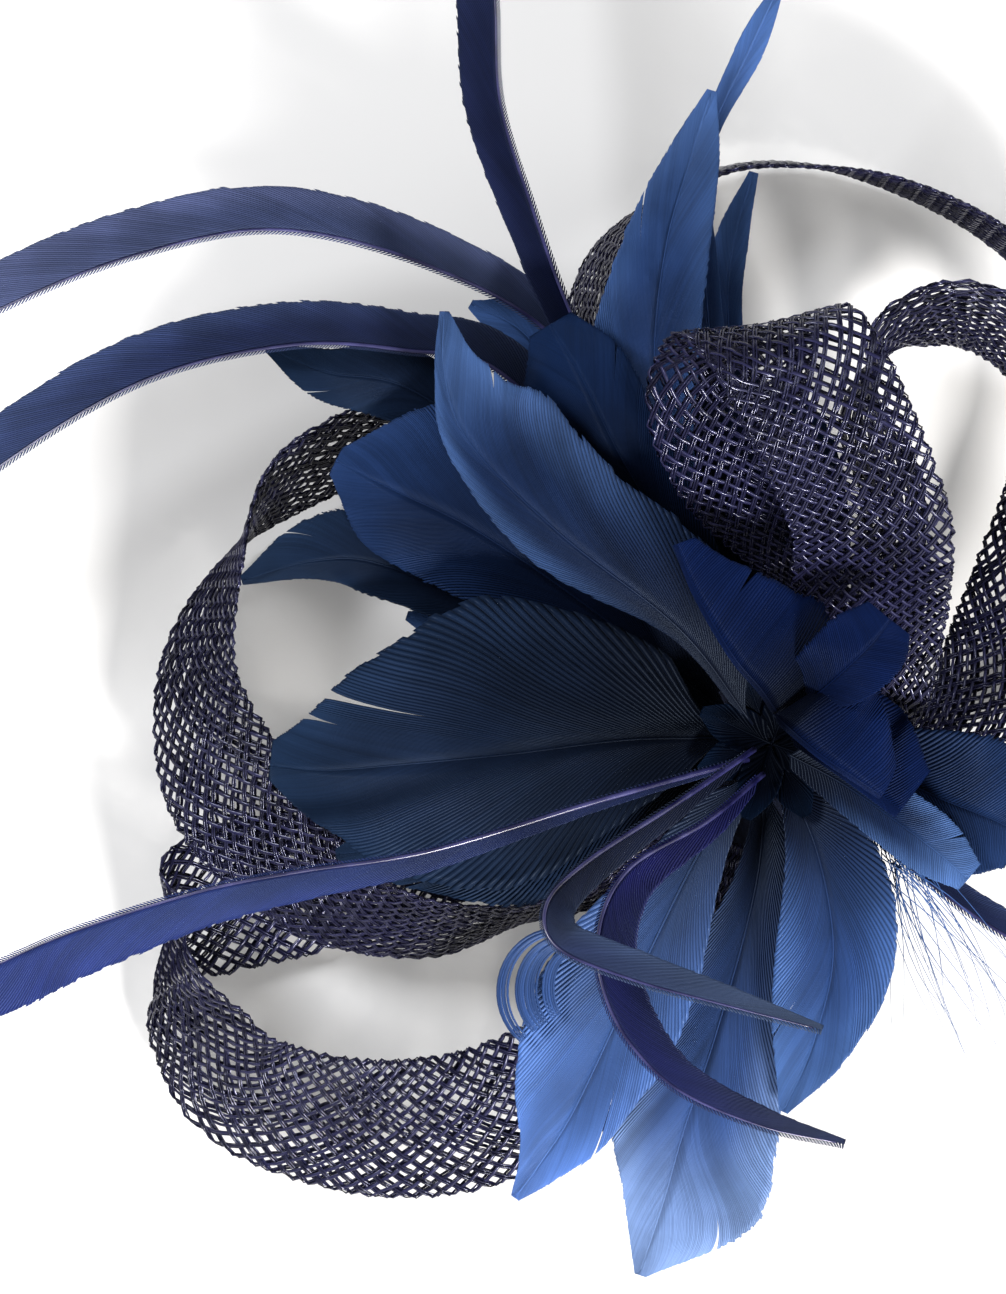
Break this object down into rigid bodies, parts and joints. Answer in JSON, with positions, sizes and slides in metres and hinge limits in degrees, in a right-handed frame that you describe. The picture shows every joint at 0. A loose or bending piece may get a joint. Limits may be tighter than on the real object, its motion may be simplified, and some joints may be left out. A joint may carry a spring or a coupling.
{
  "type": "feather flower fascinator",
  "caption": "Hair fascinator: a feather flower with stripped quills and looped crin braid on a felt-backed disc, with a spring clip and brooch pin under it.",
  "frame": {"origin": "middle of the felt backing's underside, where the piece meets the head", "axes": "+Z away from the head through the middle of the flower, +X along the clip towards its thumb tab, +Y across the clip towards the brooch pin"},
  "size_m": [0.3279, 0.3058, 0.1087],
  "materials": {
    "felt": "matt wool felt",
    "thread": "matt wrapped thread",
    "crin_braid": "glossy open plaited synthetic straw",
    "petal": "silky dyed goose feather",
    "quill": "silky dyed stripped feather",
    "steel": "bright nickel plated spring steel"
  },
  "bodies": {
    "headpiece": {"felt_backing": "felt", "base_disc": "felt", "flower_stem": "thread", "clip_plate": "steel", "clip_hinge_pin": "steel", "clip_spring": "steel", "brooch_bar": "steel", "brooch_rivet": "steel", "left_loop": "crin_braid", "lower_left_loop": "crin_braid", "front_loop": "crin_braid", "right_loop": "crin_braid", "top_loop": "crin_braid", "left_petal": "petal", "left_under_petal": "petal", "rolled_petal": "petal", "folded_petal": "petal", "narrow_dark_petal": "petal", "tall_petal": "petal", "twisted_tip_petal": "petal", "upright_petal": "petal", "collar_petal": "petal", "standing_petal": "petal", "curled_petal": "petal", "right_petal": "petal", "lower_left_petal": "petal", "lower_petal": "petal", "lower_right_petal": "petal", "back_leaf_petal": "petal", "pale_back_petal": "petal", "side_under_petal": "petal", "upper_quill": "quill", "long_upper_quill": "quill", "middle_quill": "quill", "lower_quill": "quill", "front_curl_quill": "quill", "near_curl_quill": "quill", "right_quill": "quill"},
    "clip_jaw": {"clip_jaw": "steel"},
    "brooch_pin": {"brooch_pin": "steel"}
  },
  "joints": [
    {"name": "clip_jaw_hinge", "type": "hinge", "parent": "headpiece", "child": "clip_jaw", "pos_m": [0.011, 0, -0.0044], "axis": [0, -1, 0], "range_deg": [0, 22], "stiffness_Nm_per_rad": 0.05, "springref_deg": -20.05},
    {"name": "brooch_pin_hinge", "type": "hinge", "parent": "headpiece", "child": "brooch_pin", "pos_m": [0.013, 0.013, -0.0034], "axis": [0, -1, 0], "range_deg": [0, 60]}
  ]
}
